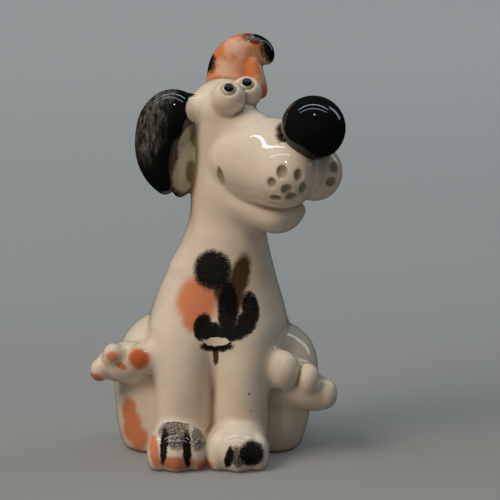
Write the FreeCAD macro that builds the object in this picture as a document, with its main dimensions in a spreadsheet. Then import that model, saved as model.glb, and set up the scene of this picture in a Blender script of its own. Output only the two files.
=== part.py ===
"""A sitting spotted hound of glazed clay, built up from separately modelled lumps.

Millimetres, +Z up. The origin is on the ground under the chest, +Y points behind the hound.
The hound sits square to -Y and turns its head to its own left, towards +X.
"""
import FreeCAD, Part
import os

doc = FreeCAD.newDocument("hound")
sheet = doc.addObject("Spreadsheet::Sheet", "Sizes")

# Driving sizes, in millimetres and degrees.
SIZES = {
    "torso_height": 58.0,
    "torso_width": 29.4,
    "neck_width": 15.2,
    "torso_wall": 3.6,
    "vent_bore": 3.0,
    "rump_height": 31.5,
    "rump_width": 35.6,
    "leg_height": 38.0,
    "leg_width_right": 11.0,
    "leg_width_left": 10.0,
    "leg_depth": 14.6,
    "leg_spacing": 12.2,
    "paw_length": 15.6,
    "paw_width": 12.8,
    "paw_height": 9.2,
    "thigh_height_right": 28.6,
    "thigh_height_left": 26.4,
    "thigh_width": 17.6,
    "thigh_depth": 20.4,
    "foot_length": 13.6,
    "foot_width": 8.6,
    "foot_lift_right": -8.0,
    "foot_lift_left": 26.0,
    "toe_size": 6.6,
    "head_rise": 14.4,
    "head_width": 14.6,
    "head_wall": 3.6,
    "head_turn": 50.0,
    "brow_length": 17.2,
    "muzzle_length": 22.6,
    "muzzle_width": 19.4,
    "jowl_size": 11.6,
    "jaw_length": 21.0,
    "jaw_depth": 12.0,
    "nose_size": 13.4,
    "eye_size_right": 7.3,
    "eye_size_left": 6.7,
    "gaze_tilt": 46.0,
    "pupil_size": 2.0,
    "pupil_ring_wire": 0.5,
    "whisker_pit": 1.9,
    "cheek_pit": 3.4,
    "ear_length_right": 22.6,
    "ear_width_right": 12.4,
    "ear_length_left": 16.2,
    "ear_width_left": 12.8,
    "tail_length": 13.0,
    "tail_width": 6.2,
    "overrun": 4.0,
}
for row, (alias, value) in enumerate(SIZES.items(), start=1):
    sheet.set(f"A{row}", alias)
    sheet.set(f"B{row}", str(value))
    sheet.setAlias(f"B{row}", alias)
doc.recompute()

UP = FreeCAD.Vector(0, 0, 1)
ACROSS = FreeCAD.Vector(1, 0, 0)
BACK = FreeCAD.Vector(0, 1, 0)
DIAGONAL = FreeCAD.Vector(1, 1, 0)
SIDES = {"right": -1, "left": 1}
# A ball's seam is kept on the side that faces away from its neighbours.
SEAM_TURNS = {"right": 180, "left": 0}


def cell(alias, share=1):
    """An expression: a share of one named size."""
    return f"Sizes.{alias} * {share}"


def total(*terms):
    """An expression: the sum of other expressions."""
    return " + ".join(f"({term})" for term in terms)


def place(item, centre, axis=UP, angle=None):
    """Bind an item's place, and its turn about one axis if an angle is given."""
    if angle is not None:
        item.Placement.Rotation = FreeCAD.Rotation(axis, 1)
        item.setExpression("Placement.Rotation.Angle", angle)
    for letter, expression in zip("xyz", centre):
        item.setExpression(f"Placement.Base.{letter}", expression)


def ball(name, widths, centre, axis=UP, angle=None):
    """An ellipsoid by its full width, depth and height."""
    item = doc.addObject("Part::Ellipsoid", name)
    for prop, width in zip(("Radius2", "Radius3", "Radius1"), widths):
        item.setExpression(prop, f"({width}) / 2")
    place(item, centre, axis, angle)
    return item


def ring(name, long_half, short_half, centre, axis=UP, angle=None):
    """One elliptical section of a lofted lump."""
    item = doc.addObject("Part::Ellipse", name)
    item.setExpression("MajorRadius", long_half)
    item.setExpression("MinorRadius", short_half)
    place(item, centre, axis, angle)
    return item


def loft(name, rings):
    """A smooth closed lump through a row of sections."""
    item = doc.addObject("Part::Loft", name)
    item.Sections = rings
    item.Solid = True
    return item


def joined(name, pieces):
    """Lumps worked into one."""
    item = doc.addObject("Part::MultiFuse", name)
    item.Shapes = pieces
    return item


def without(name, base, tools):
    """A lump with the room of its neighbours cut out of it, one after another."""
    for count, tool in enumerate(tools, start=1):
        cut = doc.addObject("Part::Cut", f"{name}_cut_{count}")
        cut.Base = base
        cut.Tool = tool
        base = cut
    base.Label = name
    return base


ground = doc.addObject("Part::Box", "ground_room")
for prop in ("Length", "Width"):
    ground.setExpression(prop, total(cell("rump_width", 2), cell("torso_height", 1)))
ground.setExpression("Height", cell("overrun", 3))
place(ground, (cell("rump_width", -1.5), cell("rump_width", -1.5), cell("overrun", -3)))

# Torso and neck: one tall hollow bell, leaning a little to the hound's left at the neck.
# Rows: share of the height, swell from neck to chest, depth of the width, places across and back.
TORSO_SHARES = (
    (-0.07, 0.26, 0.96, 0.02, 0.19),
    (0.0, 0.28, 0.96, 0.02, 0.19),
    (0.086, 0.34, 0.95, 0.02, 0.19),
    (0.172, 0.56, 0.948, 0.02, 0.17),
    (0.276, 0.79, 0.924, 0.02, 0.122),
    (0.379, 0.93, 0.90, 0.02, 0.068),
    (0.466, 1.0, 0.857, 0.02, 0.034),
    (0.534, 0.915, 0.844, 0.02, 0.02),
    (0.621, 0.69, 0.864, 0.027, 0.01),
    (0.707, 0.45, 0.889, 0.041, 0.007),
    (0.793, 0.20, 0.944, 0.065, 0.007),
    (0.862, 0.056, 0.975, 0.078, 0.014),
    (0.931, 0.014, 0.987, 0.082, 0.017),
    (1.0, 0.0, 0.987, 0.08, 0.026),
)


def torso_half(swell):
    return f"(Sizes.neck_width + (Sizes.torso_width - Sizes.neck_width) * {swell}) / 2"


def torso_rings(name, inset, rows):
    """Sections of the bell, seamed on its right, drawn in by a wall; a hollow starts a wall above the ground."""
    rings = []
    for count, (up, swell, depth, across, back) in enumerate(rows):
        height = total(cell("torso_height", up), inset if up == 0 else "0")
        half = torso_half(swell)
        rings.append(ring(
            f"{name}_{count}", f"{half} - {inset}", f"({half}) * {depth} - {inset}",
            (cell("torso_width", across), cell("torso_width", back), height), UP, "180"))
    return rings


torso_lump = loft("torso_lump", torso_rings("torso_ring", "0", TORSO_SHARES))
torso_room = loft("torso_room", torso_rings("torso_room_ring", "Sizes.torso_wall", TORSO_SHARES[1:]))
VENT_BACK_SHARE = 0.3
vent = doc.addObject("Part::Cylinder", "vent_room")
vent.setExpression("Radius", cell("vent_bore", 0.5))
vent.setExpression("Height", total(cell("torso_wall"), cell("overrun", 2)))
place(vent, (cell("torso_width", 0.02), cell("torso_width", VENT_BACK_SHARE), cell("overrun", -1)))
torso_shell = without("torso_shell", torso_lump, [ground, torso_room, vent])

# Rump: a rounded lump behind the torso, flat underneath.
# Rows: share of the height, of the width, depth of that width, place back as a share of the torso's width.
RUMP_SHARES = (
    (-0.13, 0.80, 0.667, 0.34),
    (0.0, 0.84, 0.667, 0.34),
    (0.038, 0.92, 0.695, 0.34),
    (0.19, 1.0, 0.697, 0.34),
    (0.413, 0.99, 0.705, 0.333),
    (0.603, 0.888, 0.72, 0.312),
    (0.762, 0.72, 0.734, 0.279),
    (0.889, 0.48, 0.75, 0.224),
    (1.0, 0.18, 0.8, 0.194),
)
RUMP_ACROSS_SHARE = 0.02
rump_lump = loft("rump_lump", [
    ring(f"rump_ring_{count}", cell("rump_width", wide / 2), cell("rump_width", wide * depth / 2),
         (cell("torso_width", RUMP_ACROSS_SHARE), cell("torso_width", back), cell("rump_height", up)))
    for count, (up, wide, depth, back) in enumerate(RUMP_SHARES)])
rump = without("rump", rump_lump, [ground, torso_lump])
trunk_lump = joined("trunk_lump", [torso_lump, rump_lump])

# Front legs: columns whose tops are worked into the chest.
# Rows: share of the height, of the depth, width of the leg's own, place inwards, place forwards.
LEG_SHARES = (
    (-0.1, 0.77, 0.98, 0.0, 0.374),
    (0.0, 0.77, 0.98, 0.0, 0.374),
    (0.132, 0.76, 0.96, 0.0, 0.367),
    (0.263, 0.765, 0.94, 0.0, 0.347),
    (0.395, 0.85, 1.0, 0.0, 0.32),
    (0.526, 0.94, 1.07, 0.0, 0.279),
    (0.632, 1.0, 1.16, 0.0, 0.231),
    (0.737, 0.985, 1.22, 0.01, 0.184),
    (0.842, 0.86, 1.0, 0.03, 0.136),
    (0.947, 0.56, 0.62, 0.05, 0.095),
    (1.0, 0.28, 0.3, 0.06, 0.068),
)
LEG_ACROSS_SHARE = -0.03


def leg_across(side, inwards=0):
    """Place of a front leg's axis across the hound."""
    return total(cell("torso_width", LEG_ACROSS_SHARE), cell("leg_spacing", SIDES[side] / 2),
                 cell("torso_width", -SIDES[side] * inwards))


def leg_lump(side):
    rings = []
    for count, (up, deep, wide, inwards, forwards) in enumerate(LEG_SHARES):
        deep_half = cell("leg_depth", deep / 2)
        wide_half = f"min({cell(f'leg_width_{side}', wide / 2)}; {deep_half})"
        centre = (leg_across(side, inwards), cell("torso_width", -forwards), cell("leg_height", up))
        rings.append(ring(f"leg_ring_{side}_{count}", deep_half, wide_half, centre, UP, "90"))
    return loft(f"leg_lump_{side}", rings)


leg_lumps = {side: leg_lump(side) for side in SIDES}
front_leg_right = without("front_leg_right", leg_lumps["right"], [ground, trunk_lump])
front_leg_left = without(
    "front_leg_left", leg_lumps["left"], [ground, trunk_lump, leg_lumps["right"]])

# Front paws: a flat-bottomed lump with three rounded toes.
PAW_FORWARD_SHARE = 0.28
PAW_RISE_SHARE = 0.39
PAW_TOE_SHARES = (-0.31, 0.0, 0.31)


def paw_lump(side):
    across = total(leg_across(side), cell("paw_width", -0.07))
    front = total(cell("torso_width", -LEG_SHARES[0][-1]), cell("paw_length", -PAW_FORWARD_SHARE))
    rise = cell("paw_height", PAW_RISE_SHARE)
    lumps = [ball(f"paw_ball_{side}", (cell("paw_width"), cell("paw_length"), cell("paw_height", 1.22)),
                  (across, front, rise))]
    for count, aside in enumerate(PAW_TOE_SHARES):
        centre = (total(across, cell("paw_width", aside)),
                  total(front, cell("paw_length", -0.25), cell("paw_width", abs(aside) * 0.35)),
                  cell("paw_height", 0.34))
        widths = (cell("paw_width", 0.39), cell("paw_length", 0.51), cell("paw_height", 0.91))
        lumps.append(ball(f"paw_toe_{side}_{count}", widths, centre))
    return joined(f"paw_lump_{side}", lumps)


paw_lumps = {side: paw_lump(side) for side in SIDES}
front_paw_right = without(
    "front_paw_right", paw_lumps["right"], [ground, leg_lumps["right"], leg_lumps["left"]])
front_paw_left = without(
    "front_paw_left", paw_lumps["left"],
    [ground, leg_lumps["left"], leg_lumps["right"], paw_lumps["right"]])

# Hind legs: thighs drawn up beside the torso.
# Rows: share of the height, of the depth, of the width, place outwards, place back.
THIGH_SHARES = {
    "right": (
        (-0.14, 0.66, 0.61, 0.365, 0.04),
        (0.0, 0.69, 0.64, 0.365, 0.04),
        (0.042, 0.82, 0.795, 0.371, 0.04),
        (0.175, 0.92, 0.90, 0.376, 0.056),
        (0.35, 0.98, 0.955, 0.376, 0.073),
        (0.524, 1.0, 1.0, 0.371, 0.09),
        (0.70, 0.96, 0.966, 0.36, 0.107),
        (0.84, 0.80, 0.82, 0.348, 0.124),
        (0.944, 0.53, 0.52, 0.343, 0.135),
        (1.0, 0.16, 0.16, 0.343, 0.14),
    ),
    "left": (
        (-0.15, 0.66, 0.54, 0.337, 0.04),
        (0.0, 0.69, 0.568, 0.337, 0.04),
        (0.045, 0.82, 0.705, 0.343, 0.04),
        (0.19, 0.92, 0.795, 0.354, 0.056),
        (0.379, 0.96, 0.875, 0.365, 0.073),
        (0.568, 0.96, 0.955, 0.376, 0.09),
        (0.72, 0.88, 0.92, 0.382, 0.107),
        (0.852, 0.725, 0.773, 0.382, 0.124),
        (0.947, 0.49, 0.49, 0.382, 0.135),
        (1.0, 0.16, 0.16, 0.382, 0.14),
    ),
}


def thigh_lump(side):
    rings = []
    for count, (up, deep, wide, outwards, back) in enumerate(THIGH_SHARES[side]):
        deep_half = cell("thigh_depth", deep / 2)
        wide_half = f"min({cell('thigh_width', wide / 2)}; {deep_half})"
        centre = (cell("rump_width", SIDES[side] * outwards), cell("rump_width", back),
                  cell(f"thigh_height_{side}", up))
        rings.append(ring(f"thigh_ring_{side}_{count}", deep_half, wide_half, centre, UP, "90"))
    return loft(f"thigh_lump_{side}", rings)


thigh_lumps = {side: thigh_lump(side) for side in SIDES}
for side in SIDES:
    without(f"hind_leg_{side}", thigh_lumps[side],
            [ground, trunk_lump, leg_lumps[side]])

# Hind feet: soles that stick out to each side, with three toes each.
# A foot: shares of thigh width outwards from the thigh's axis, of thigh depth forwards, of thigh height.
FOOT_SHARES = {"right": (0.30, 0.37, 0.706), "left": (0.26, 0.40, 0.553)}
# A toe: shares of foot length outwards, foot width forwards and up, then widths as shares of toe size.
TOE_SHARES = {
    "right": {
        "inner": (-0.215, 0.36, 0.175, 0.94, 0.88, 1.0),
        "middle": (0.24, 0.31, 0.19, 0.80, 0.80, 0.82),
        "outer": (0.45, 0.18, -0.12, 0.72, 0.74, 0.82),
    },
    "left": {
        "inner": (-0.295, 0.37, 0.39, 1.12, 1.09, 1.27),
        "middle": (0.147, 0.29, 0.21, 0.88, 0.97, 1.12),
        "outer": (0.42, 0.12, -0.11, 0.70, 0.80, 0.97),
    },
}


def foot_centre(side):
    outwards, forwards, up = FOOT_SHARES[side]
    axis_share, back_share = THIGH_SHARES[side][5][3:]
    return (total(cell("rump_width", SIDES[side] * axis_share), cell("thigh_width", SIDES[side] * outwards)),
            total(cell("rump_width", back_share), cell("thigh_depth", -forwards - 0.05)),
            cell(f"thigh_height_{side}", up))


def foot_lump(side):
    """An egg lying on its side, its own upright axis along the foot."""
    widths = (cell("foot_width", 1.02), cell("foot_width", 0.95), cell("foot_length"))
    return ball(f"foot_lump_{side}", widths, foot_centre(side), BACK, f"Sizes.foot_lift_{side} - 90")


def toe_lump(side, toe):
    """An egg laid with its own upright axis pointing forwards."""
    outwards, forwards, up, wide, deep, tall = TOE_SHARES[side][toe]
    centre = foot_centre(side)
    return ball(f"toe_lump_{side}_{toe}", (cell("toe_size", wide), cell("toe_size", tall), cell("toe_size", deep)),
                (total(centre[0], cell("foot_length", SIDES[side] * outwards)),
                 total(centre[1], cell("foot_width", -forwards)),
                 total(centre[2], cell("foot_width", up))), ACROSS, "90")


foot_lumps = {side: foot_lump(side) for side in SIDES}
for side in SIDES:
    limb_lumps = [thigh_lumps[side], leg_lumps[side], trunk_lump]
    without(f"hind_foot_{side}", foot_lumps[side], limb_lumps)
    earlier = [foot_lumps[side]]
    for toe in TOE_SHARES[side]:
        lump = toe_lump(side, toe)
        without(f"hind_toe_{side}_{toe}", lump, earlier + limb_lumps)
        earlier.append(lump)

# Tail: a short lump laid round the back of the rump on the hound's left.
TAIL_RISE_SHARE = 0.52
RUMP_BACK_SHARE = RUMP_SHARES[0][-1]
tail_root = ball("tail_root", (cell("tail_length"), cell("tail_width"), cell("tail_width")),
                 (cell("rump_width", 0.16), total(cell("torso_width", RUMP_BACK_SHARE), cell("rump_width", 0.329)),
                  cell("tail_width", TAIL_RISE_SHARE)),
                 UP, "-14")
tail_tip = ball("tail_tip", (cell("tail_length", 0.72), cell("tail_width", 0.8), cell("tail_width", 0.8)),
                (cell("rump_width", 0.36), total(cell("torso_width", RUMP_BACK_SHARE), cell("rump_width", 0.239)),
                 cell("tail_width", TAIL_RISE_SHARE)),
                UP, "-46")
tail = without("tail", joined("tail_lump", [tail_root, tail_tip]),
               [ground, trunk_lump, thigh_lumps["left"]])

# Head: everything on it is placed sideways, forwards and up from the middle of the skull.
HEAD_CENTRE = (cell("torso_width", 0.044), cell("torso_width", 0.058),
               total(cell("torso_height"), cell("head_rise")))


def at_head(left, forward, up):
    """A place on the turned head, as three expressions."""
    return (total(HEAD_CENTRE[0], f"({left}) * cos(Sizes.head_turn)", f"({forward}) * sin(Sizes.head_turn)"),
            total(HEAD_CENTRE[1], f"({left}) * sin(Sizes.head_turn)", f"-({forward}) * cos(Sizes.head_turn)"),
            total(HEAD_CENTRE[2], up))


def head_ball(name, widths, place_on_head):
    """An ellipsoid turned with the head: width across, length forwards, height."""
    return ball(name, widths, at_head(*place_on_head), UP, "Sizes.head_turn")


def skull(name, inset):
    """The column that carries on the neck, with its dome. Their seams face away from the muzzle."""
    neck = TORSO_SHARES[-1]
    rings = []
    for count, share in enumerate((0, 0.5, 1)):
        half = f"(Sizes.neck_width * {1 - share} + Sizes.head_width * {share} * 0.985) / 2 - {inset}"
        centre = (total(cell("torso_width", neck[3] * (1 - share) + 0.044 * share)),
                  total(cell("torso_width", neck[4] * (1 - share) + 0.058 * share)),
                  total(cell("torso_height"), cell("head_rise", share)))
        rings.append(ring(f"{name}_ring_{count}", half, f"({half}) * {neck[2]}", centre, UP, "180"))
    column = loft(f"{name}_column", rings)
    across = f"Sizes.head_width - 2 * {inset}"
    dome = ball(f"{name}_dome", (f"({across}) * 1.01", across, f"({across}) * 0.985"), HEAD_CENTRE,
                UP, "Sizes.head_turn + 90")
    return joined(name, [column, dome])


skull_lump = skull("skull_lump", "0")
skull_room = skull("skull_room", "Sizes.head_wall")
head_shell = without("head_shell", skull_lump, [skull_room])

# Muzzle: a large smooth egg on the front of the head, under a sloping brow.
MUZZLE_DROP_SHARE = 0.485
brow_ball = head_ball(
    "brow_ball", (cell("head_width", 0.795), cell("brow_length"), cell("head_width", 0.877)),
    ("0", cell("brow_length", 0.44), cell("head_width", -0.3)))
egg_front = head_ball(
    "egg_front", (cell("muzzle_width"), cell("muzzle_length"), cell("muzzle_width", 0.99)),
    ("0", cell("muzzle_length", 0.584), cell("muzzle_width", -MUZZLE_DROP_SHARE)))
egg_rear = head_ball(
    "egg_rear", (cell("muzzle_width", 0.845), cell("muzzle_length", 0.708), cell("muzzle_width", 0.784)),
    ("0", cell("muzzle_length", 0.283), cell("muzzle_width", -MUZZLE_DROP_SHARE - 0.01)))
muzzle_lump = joined("muzzle_lump", [brow_ball, egg_front, egg_rear])
CHEEK_PIT_SHARES = (0.46, 0.13, -0.47)


def cheek_pit(side):
    """The corner of the mouth, an upright oval hollow."""
    aside, forward, up = CHEEK_PIT_SHARES
    return head_ball(f"cheek_pit_{side}", (cell("cheek_pit", 0.6), cell("cheek_pit", 0.6), cell("cheek_pit")),
                     (cell("muzzle_width", SIDES[side] * aside), cell("muzzle_length", forward),
                      cell("muzzle_width", up)))


cheek_pits = [cheek_pit(side) for side in SIDES]
muzzle = without("muzzle", muzzle_lump, [skull_lump, torso_lump] + cheek_pits)

# Jowls: two rounded lips at the front of the muzzle, pricked with whisker pits.
JOWL_FORWARD_SHARE = 0.915
JOWL_DROP_SHARE = 0.572
# Whisker pits: share of the jowl sideways from its middle, and up.
WHISKER_SHARES = ((0.12, 0.34), (0.52, 0.28), (-0.10, 0.0), (0.34, -0.02), (0.70, -0.1), (0.05, -0.38), (0.46, -0.42))


def jowl_centre(side):
    return (cell("jowl_size", SIDES[side] * 0.414), cell("muzzle_length", JOWL_FORWARD_SHARE),
            cell("muzzle_width", -JOWL_DROP_SHARE))


def jowl_lump(side):
    widths = (cell("jowl_size"), cell("jowl_size", 1.17), cell("jowl_size", 1.06))
    return ball(f"jowl_lump_{side}", widths, at_head(*jowl_centre(side)), UP,
                f"Sizes.head_turn + 180 - {SEAM_TURNS[side]}")


def whisker_pits(side):
    """Small hollows on the face of a jowl, each one centred on its surface."""
    centre = jowl_centre(side)
    pits = []
    for count, (aside, up) in enumerate(WHISKER_SHARES):
        ahead = (1 - aside ** 2 - up ** 2) ** 0.5
        pit = doc.addObject("Part::Sphere", f"whisker_pit_{side}_{count}")
        pit.setExpression("Radius", cell("whisker_pit", 0.5))
        place(pit, at_head(total(centre[0], cell("jowl_size", SIDES[side] * aside / 2)),
                           total(centre[1], cell("jowl_size", ahead * 1.17 / 2)),
                           total(centre[2], cell("jowl_size", up * 1.06 / 2))), DIAGONAL, "90")
        pits.append(pit)
    return joined(f"whisker_pits_{side}", pits)


jowl_lumps = {side: jowl_lump(side) for side in SIDES}
nose_lump = doc.addObject("Part::Sphere", "nose_lump")
nose_lump.setExpression("Radius", cell("nose_size", 0.5))
place(nose_lump, at_head("0", cell("muzzle_length", 1.097), cell("muzzle_width", -0.06)))
face_lump = joined("face_lump", [skull_lump, muzzle_lump])
pricked_jowls = {side: without(f"pricked_jowl_{side}", jowl_lumps[side], [whisker_pits(side)]) for side in SIDES}
without("jowl_right", pricked_jowls["right"], [face_lump, nose_lump])
without("jowl_left", pricked_jowls["left"], [face_lump, nose_lump, jowl_lumps["right"]])

# Nose: a large glossy ball set on the top of the muzzle's end.
nose_ball = without("nose_ball", nose_lump, [muzzle_lump])

# Lower jaw: a boat-shaped lump from the throat to the chin, its lip just under the jowls.
# Rows: share of the depth up from the keel, place forwards and half length as shares of the
# length, half width as a share of the half length.
JAW_SHARES = (
    (0.0, 0.76, 0.11, 0.85),
    (0.11, 0.70, 0.265, 0.75),
    (0.32, 0.61, 0.425, 0.67),
    (0.56, 0.535, 0.505, 0.66),
    (0.80, 0.495, 0.525, 0.68),
    (1.0, 0.47, 0.50, 0.68),
)
JAW_DROP_SHARE = -1.2
jaw_lump = loft("jaw_lump", [
    ring(f"jaw_ring_{count}", cell("jaw_length", half_long), cell("jaw_length", half_long * wide),
         at_head("0", cell("jaw_length", forward),
                 total(cell("muzzle_width", JAW_DROP_SHARE), cell("jaw_depth", up))),
         UP, "Sizes.head_turn + 90")
    for count, (up, forward, half_long, wide) in enumerate(JAW_SHARES)])
lower_jaw = without("lower_jaw", jaw_lump,
                    [torso_lump, skull_lump, muzzle_lump, jowl_lumps["right"], jowl_lumps["left"]])

# Eyes: two balls side by side on the brow, each with a grooved ring round a dark pupil.
# Places: sideways, forwards and up as shares of the head's width.
EYE_SHARES = {"right": (-0.2605, 0.3395, 0.2705), "left": (0.1525, 0.3375, 0.315)}


def eye_centre(side):
    return at_head(*(cell("head_width", share) for share in EYE_SHARES[side]))


def gaze(side, reach):
    """A place in front of an eye, along its gaze, which tips up from straight ahead of the body."""
    centre = eye_centre(side)
    return (centre[0], total(centre[1], f"-({reach}) * sin(Sizes.gaze_tilt)"),
            total(centre[2], f"({reach}) * cos(Sizes.gaze_tilt)"))


def eye(side, neighbours):
    """The eyeball and its pupil."""
    globe = doc.addObject("Part::Sphere", f"eye_lump_{side}")
    globe.setExpression("Radius", cell(f"eye_size_{side}", 0.5))
    place(globe, eye_centre(side))
    front = gaze(side, cell(f"eye_size_{side}", 0.47))
    groove = doc.addObject("Part::Torus", f"eye_groove_{side}")
    groove.setExpression("Radius1", cell("pupil_size", 0.8))
    groove.setExpression("Radius2", cell("pupil_ring_wire", 0.5))
    place(groove, gaze(side, cell(f"eye_size_{side}", 0.44)), ACROSS, "Sizes.gaze_tilt")
    pupil = ball(f"pupil_{side}", (cell("pupil_size"), cell("pupil_size"), cell("pupil_size", 0.5)),
                 front, ACROSS, "Sizes.gaze_tilt")
    without(f"eye_{side}", globe, neighbours + [groove, pupil])
    return globe


eye_right = eye("right", [face_lump])
eye_left = eye("left", [face_lump, eye_right])

# Hanging ear on the hound's right: a thick flap folded down from the skull.
# Rows: share of the length down, of the width, thickness of that width, places across and forwards.
FLAP_SHARES = (
    (0.0, 0.20, 0.75, 0.54, 0.28),
    (0.03, 0.46, 0.66, 0.60, 0.30),
    (0.09, 0.72, 0.60, 0.68, 0.33),
    (0.18, 0.92, 0.56, 0.765, 0.36),
    (0.36, 1.04, 0.55, 0.82, 0.39),
    (0.545, 1.04, 0.55, 0.825, 0.41),
    (0.735, 0.90, 0.56, 0.79, 0.42),
    (0.88, 0.62, 0.62, 0.76, 0.42),
    (0.955, 0.36, 0.70, 0.74, 0.42),
    (1.0, 0.12, 0.80, 0.73, 0.42),
)
FLAP_TURN = "-14"
FLAP_TOP_SHARE = 0.43
flap_rings = [
    ring(f"flap_ring_{count}", cell("ear_width_right", wide / 2), cell("ear_width_right", wide * thick / 2),
         (total(HEAD_CENTRE[0], cell("head_width", -across)),
          total(HEAD_CENTRE[1], cell("head_width", -forwards)),
          total(HEAD_CENTRE[2], cell("head_width", FLAP_TOP_SHARE), cell("ear_length_right", -down))),
         UP, FLAP_TURN)
    for count, (down, wide, thick, across, forwards) in enumerate(FLAP_SHARES)]
flap_root = ball(
    "flap_root", (cell("ear_width_right", 0.74), cell("ear_width_right", 0.56), cell("ear_width_right", 0.56)),
    (total(HEAD_CENTRE[0], cell("head_width", -0.5)), total(HEAD_CENTRE[1], cell("head_width", -0.22)),
     total(HEAD_CENTRE[2], cell("head_width", 0.17))), UP, "28")
ear_right = without("ear_right", joined("ear_lump_right", [loft("flap_lump", flap_rings), flap_root]),
                    [skull_lump, torso_lump])

# Standing ear on the hound's left: it rises behind the skull and its tip curls over.
# Rows: places across and up as shares of the length, tilt, width share, thickness of that width.
HORN_SHARES = (
    (0.21, 0.06, 0, 1.0, 0.5),
    (0.17, 0.28, -6, 0.94, 0.5),
    (0.155, 0.47, -2, 0.86, 0.54),
    (0.20, 0.65, 18, 0.72, 0.62),
    (0.33, 0.79, 52, 0.50, 0.8),
    (0.47, 0.81, 95, 0.36, 0.95),
)
# Curled tip: places across and up as shares of the length, size as a share of the width.
CURL_SHARES = ((0.50, 0.765, 0.34), (0.555, 0.68, 0.25))
HORN_BACK_SHARE = 0.40


def horn_centre(across, up):
    return (total(HEAD_CENTRE[0], cell("ear_length_left", across)),
            total(HEAD_CENTRE[1], cell("ear_length_left", HORN_BACK_SHARE)),
            total(HEAD_CENTRE[2], cell("ear_length_left", up)))


horn_rings = [
    ring(f"horn_ring_{count}", cell("ear_width_left", wide / 2), cell("ear_width_left", wide * thick / 2),
         horn_centre(across, up), BACK, str(tilt))
    for count, (across, up, tilt, wide, thick) in enumerate(HORN_SHARES)]
horn_curl = [
    ball(f"horn_curl_{count}", [cell("ear_width_left", size)] * 3, horn_centre(across, up))
    for count, (across, up, size) in enumerate(CURL_SHARES)]
ear_left = without("ear_left", joined("ear_lump_left", [loft("horn_lump", horn_rings)] + horn_curl),
                   [face_lump, eye_right, eye_left])

doc.recompute()

NODES = (
    ["torso_shell", "rump", "tail", "head_shell", "muzzle", "nose_ball", "lower_jaw"]
    + [f"{name}_{side}" for name in ("front_leg", "front_paw", "hind_leg", "hind_foot") for side in SIDES]
    + [f"hind_toe_{side}_{toe}" for side in SIDES for toe in TOE_SHARES[side]]
    + [f"{name}_{side}" for name in ("jowl", "eye", "pupil", "ear") for side in SIDES])

for item in doc.Objects:
    if {"Invalid", "Error"} & set(item.State):
        raise SystemExit(f"{item.Label} did not build: {item.State}")

os.makedirs("parts", exist_ok=True)
for node in NODES:
    item = doc.getObjectsByLabel(node)[0]
    shape = item.Shape
    if shape.isNull() or not shape.isValid() or not shape.Solids:
        raise SystemExit(f"{node} has no valid solid")
    box = shape.optimalBoundingBox(False)
    print(f"{node}: {len(shape.Solids)} solid, {shape.Volume:.1f} mm3, "
          f"x {box.XMin:.1f} {box.XMax:.1f}, y {box.YMin:.1f} {box.YMax:.1f}, z {box.ZMin:.1f} {box.ZMax:.1f}")
    shape.exportStep(f"parts/{node}.step")
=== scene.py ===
"""The seated hound in thick glossy glaze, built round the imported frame.

The clay is sculpted as distance fields in millimetres, in the frame's own axes, and meshed in metres.
Each visible piece stands for one node of the frame. Neighbours share one smooth glazed surface.
"""
import math
import bpy
import numpy as np
from mathutils import Matrix


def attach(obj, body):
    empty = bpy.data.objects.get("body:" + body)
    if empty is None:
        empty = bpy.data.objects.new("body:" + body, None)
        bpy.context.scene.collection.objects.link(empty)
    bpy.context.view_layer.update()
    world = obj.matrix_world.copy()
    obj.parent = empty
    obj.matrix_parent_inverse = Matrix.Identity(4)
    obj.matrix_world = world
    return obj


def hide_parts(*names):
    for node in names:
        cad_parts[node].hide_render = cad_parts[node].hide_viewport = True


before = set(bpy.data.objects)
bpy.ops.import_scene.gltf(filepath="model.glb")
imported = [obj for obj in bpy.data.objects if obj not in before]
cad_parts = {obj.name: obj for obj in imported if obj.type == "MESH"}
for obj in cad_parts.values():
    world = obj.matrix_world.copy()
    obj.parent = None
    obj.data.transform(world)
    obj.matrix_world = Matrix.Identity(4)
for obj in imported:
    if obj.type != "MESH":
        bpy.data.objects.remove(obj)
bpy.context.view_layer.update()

MM = 0.001
SIDES = {"right": -1, "left": 1}
# What a field says far from its lump, and how far past a lump it is still worked out, in millimetres.
FAR = 50.0
NEAR_MARGIN = 8.0
# Keeps a division away from zero.
TINY = 1e-9
# Points between two rows of a spline.
SPLINE_STEPS = 24
# A roll's eggs: how softly they melt together, how far apart they lie, and the limits of the sum.
ROLL_MELT = 0.35
ROLL_SPACING = 0.5
EXPONENTS = (-600, 80)
LEAST_SUM = 1e-250
# Fillets of the worked joints, in millimetres.
FILLETS = {
    "rump": 6.0, "legs": 2.0, "leg": 4.0, "paw": 1.6, "paw_toe": 0.6, "hind_toe": 0.8, "hind_foot": 2.8,
    "hind_leg": 3.0, "tail": 1.5, "tail_tip": 2.0, "jaw": 4.6, "brow": 2.0, "snout": 2.0, "jowl_right": 5.0,
    "jowl_left": 1.0, "face": 0.8, "eye": 0.8, "ear_left": 0.8, "ear_right": 2.2, "ear_lump": 1.2}
# Rounded rims of what is pressed or cut into the surface.
RIMS = {"pit": 0.35, "ring": 0.25, "vent": 0.3, "base": 0.7}

# Camera, as the photograph was taken.
FRAME_PX = 500
PX_PER_MM = 4.69
CAMERA_AIM = np.array([7.25, 0.0, 43.2])
CAMERA_DISTANCE = 600.0
CAMERA_ELEVATION = 10.0
SENSOR_MM = 36.0
CLIP_START = 0.01
TILT = math.radians(CAMERA_ELEVATION)
TO_CAMERA = np.array([0.0, -math.cos(TILT), math.sin(TILT)])
CAMERA_UP = np.array([0.0, math.sin(TILT), math.cos(TILT)])
CAMERA_EYE = CAMERA_AIM + CAMERA_DISTANCE * TO_CAMERA


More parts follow.
